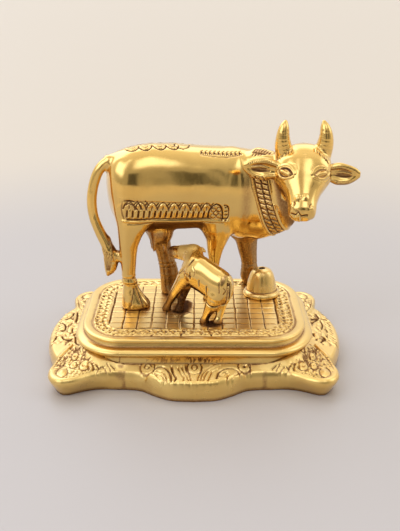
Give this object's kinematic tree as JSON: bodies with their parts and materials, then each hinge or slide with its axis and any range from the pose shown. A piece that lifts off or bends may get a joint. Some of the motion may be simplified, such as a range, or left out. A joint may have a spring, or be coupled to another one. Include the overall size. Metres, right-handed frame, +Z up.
{
  "type": "cow and calf statuette",
  "caption": "Brass cow with a suckling calf and a small domed incense-stick holder, standing on an ornate hollow stepped plinth.",
  "frame": {"origin": "bottom centre of the bounding box", "axes": "+X to the viewer's right, towards the cow's head; +Y away from the viewer; +Z up"},
  "size_m": [0.1256, 0.0936, 0.0952],
  "materials": {
    "polished_brass": "polished, with dark patina in the recesses",
    "satin_brass": "satin, with dark patina in the recesses"
  },
  "bodies": {
    "root": {"base": "satin_brass", "incense_holder": "polished_brass", "cow": "polished_brass", "calf": "polished_brass"}
  },
  "joints": []
}
